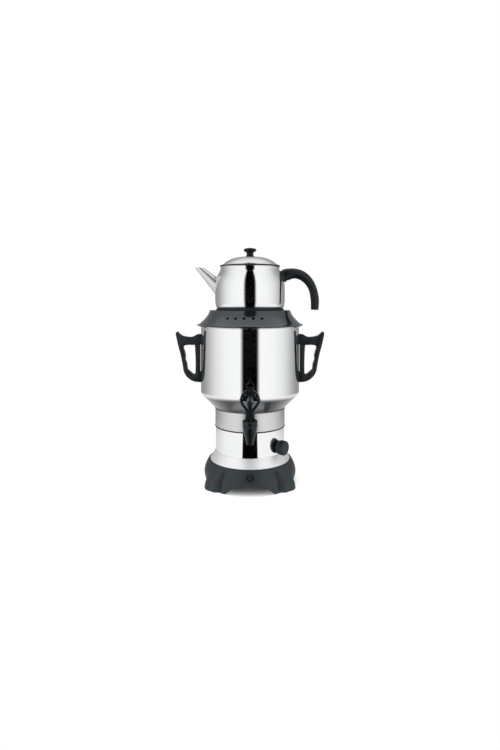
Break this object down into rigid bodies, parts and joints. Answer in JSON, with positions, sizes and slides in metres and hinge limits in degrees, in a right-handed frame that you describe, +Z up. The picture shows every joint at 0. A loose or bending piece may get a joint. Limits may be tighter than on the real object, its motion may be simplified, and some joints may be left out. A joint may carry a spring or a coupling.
{
  "type": "samovar",
  "caption": "Electric tea samovar: a heated steel tank with a front tap on a black base, and a teapot that sits on a vented steam collar.",
  "frame": {"origin": "on the tank's vertical axis, at the floor that the rubber pads stand on", "axes": "+Z up, the tap points towards -Y, +X to the right seen from the tap's side"},
  "size_m": [0.3024, 0.2673, 0.4753],
  "materials": {
    "base_plastic": "moulded black, fine grain",
    "black_plastic": "moulded black, satin",
    "tap_plastic": "moulded black, satin",
    "gloss_plastic": "moulded black, glossy",
    "switch_plastic": "moulded black",
    "white_plastic": "moulded off-white",
    "rubber": "moulded black",
    "lead_insulation": "silicone sleeve",
    "polished_steel": "stainless steel, mirror polished",
    "satin_steel": "stainless steel, satin brushed",
    "element_steel": "drawn tube",
    "fastener_steel": "zinc plated"
  },
  "bodies": {
    "root": {"base_shell": "base_plastic", "bottom_cover": "base_plastic", "cover_screws": "fastener_steel", "rubber_feet": "rubber", "button_spring": "fastener_steel", "power_switch": "switch_plastic", "cord_gland": "rubber", "terminal_block": "white_plastic", "base_skirt": "satin_steel", "base_sleeve": "polished_steel", "seam_gasket": "rubber", "tie_rods": "fastener_steel", "tie_nuts": "fastener_steel", "thermostat_body": "white_plastic", "thermostat_nut": "fastener_steel", "thermal_cutout": "switch_plastic", "cutout_clip": "fastener_steel", "inner_leads": "lead_insulation", "neck_ring": "satin_steel", "tank_shell": "polished_steel", "tank_floor": "satin_steel", "heating_element": "element_steel", "element_seals": "rubber", "element_nuts": "fastener_steel", "left_handle": "black_plastic", "right_handle": "black_plastic", "handle_screws": "fastener_steel", "handle_washers": "rubber", "tap_body": "tap_plastic", "tap_gasket": "rubber", "tap_inner_seal": "rubber", "tap_nut": "black_plastic", "tap_spout": "tap_plastic", "tap_spring": "fastener_steel"},
    "collar": {"steam_collar": "gloss_plastic", "seat_ring": "rubber"},
    "pot": {"teapot_body": "polished_steel", "teapot_spout": "polished_steel", "teapot_handle": "black_plastic", "handle_guard": "rubber", "pot_handle_bolt": "fastener_steel"},
    "lid": {"teapot_lid": "polished_steel", "lid_knob": "gloss_plastic", "lid_screw": "fastener_steel"},
    "lever": {"tap_lever": "tap_plastic"},
    "plunger": {"tap_plunger": "fastener_steel", "tap_seal": "rubber", "lever_pin": "fastener_steel"},
    "knob": {"thermostat_knob": "black_plastic", "thermostat_shaft": "fastener_steel"},
    "button": {"power_button": "gloss_plastic"}
  },
  "joints": [
    {"name": "collar_lift", "type": "slide", "parent": "root", "child": "collar", "axis": [0, 0, 1], "range_m": [0, 0.06]},
    {"name": "teapot_lift", "type": "slide", "parent": "collar", "child": "pot", "axis": [0, 0, 1], "range_m": [0, 0.08]},
    {"name": "lid_lift", "type": "slide", "parent": "pot", "child": "lid", "axis": [0, 0, 1], "range_m": [0, 0.06]},
    {"name": "tap_open", "type": "hinge", "parent": "plunger", "child": "lever", "pos_m": [0, -0.146, 0.1615], "axis": [1, 0, 0], "range_deg": [0, 40]},
    {"name": "valve_lift", "type": "slide", "parent": "root", "child": "plunger", "axis": [0, 0, 1], "range_m": [0, 0.0021], "stiffness_N_per_m": 200, "springref_m": -0.004, "deforming": ["tap_spring"]},
    {"name": "thermostat_turn", "type": "hinge", "parent": "root", "child": "knob", "pos_m": [0.06139, -0.04972, 0.081], "axis": [-0.7771, 0.6293, 0], "range_deg": [0, 270]},
    {"name": "power_press", "type": "slide", "parent": "root", "child": "button", "axis": [0, 1, 0], "range_m": [0, 0.002], "stiffness_N_per_m": 60, "springref_m": -0.004, "deforming": ["button_spring"]}
  ],
  "couplings": [
    {"joint": "tap_open", "follows": "valve_lift", "rad_per_m": 332.44}
  ]
}
